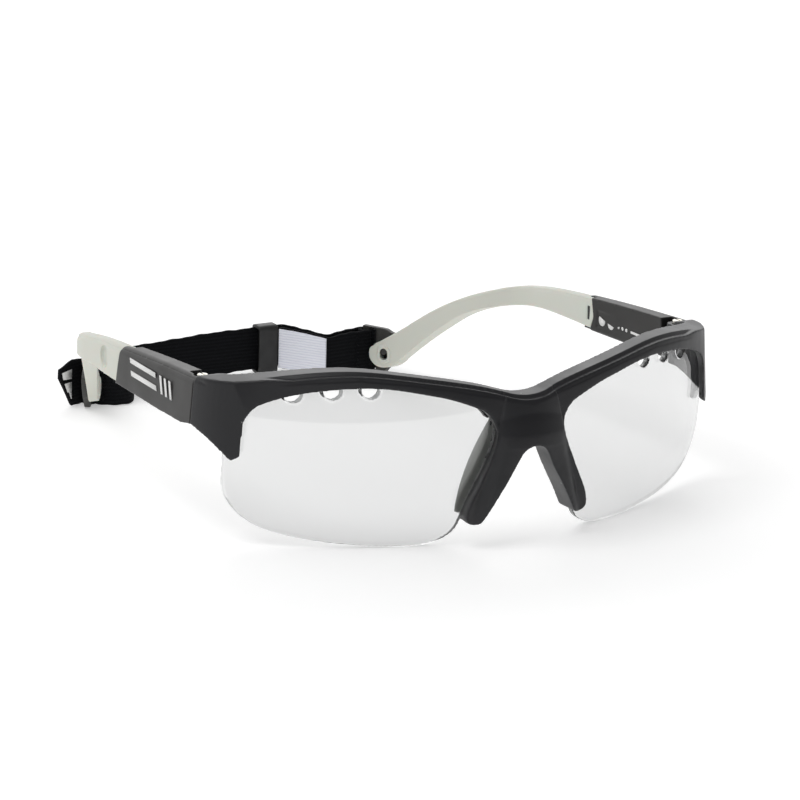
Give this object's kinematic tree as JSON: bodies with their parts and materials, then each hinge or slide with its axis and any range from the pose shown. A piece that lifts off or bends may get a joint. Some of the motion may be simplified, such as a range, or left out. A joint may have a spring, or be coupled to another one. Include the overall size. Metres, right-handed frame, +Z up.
{
  "type": "sports protective goggles",
  "caption": "Half-rim wrap-around sports goggles with clear lenses, folding temples, soft curved arms and an adjustable elastic head strap.",
  "frame": {"origin": "on the surface that the goggles stand on, below the middle of their bounding box", "axes": "+Z up; the front looks along -Y and the temples run back along +Y; X = 0 is the mirror plane of the eyewear, +X its right-hand side seen from the front"},
  "size_m": [0.1378, 0.1684, 0.0424],
  "materials": {
    "front_plastic": "satin black moulded nylon",
    "lens": "clear polycarbonate",
    "nose_pad": "translucent grey soft pad",
    "screw_steel": "turned steel",
    "temple_plastic": "satin black moulded nylon",
    "arm_rubber": "matte light grey soft-touch",
    "clip_plastic": "satin dark grey",
    "webbing": "woven black elastic",
    "grip_patch": "ribbed white weave"
  },
  "bodies": {
    "front": {"front_frame": "front_plastic", "lens_right": "lens", "lens_left": "lens", "nose_pad_right": "nose_pad", "nose_pad_left": "nose_pad", "hinge_screw_right": "screw_steel", "hinge_screw_left": "screw_steel", "strap_middle": "webbing"},
    "temple_right": {"temple_shell_right": "temple_plastic", "temple_arm_right": "arm_rubber", "strap_clip_right": "clip_plastic", "strap_right": "webbing", "strap_patch": "grip_patch"},
    "temple_left": {"temple_shell_left": "temple_plastic", "temple_arm_left": "arm_rubber", "strap_clip_left": "clip_plastic", "strap_left": "webbing"},
    "slider": {"strap_slider": "clip_plastic", "strap_adjust": "webbing"}
  },
  "joints": [
    {"name": "temple_left_fold", "type": "hinge", "parent": "front", "child": "temple_left", "pos_m": [-0.0647, -0.0439, 0.0325], "axis": [0, 0, -1], "range_deg": [0, 85], "deforming": ["strap_left"]},
    {"name": "temple_right_fold", "type": "hinge", "parent": "front", "child": "temple_right", "pos_m": [0.0647, -0.0439, 0.0325], "axis": [0, 0, 1], "range_deg": [0, 70], "deforming": ["strap_right", "strap_patch"]},
    {"name": "slider_slide", "type": "slide", "parent": "front", "child": "slider", "axis": [-1, 0, 0], "range_m": [0, 0.024], "deforming": ["strap_adjust"]}
  ]
}
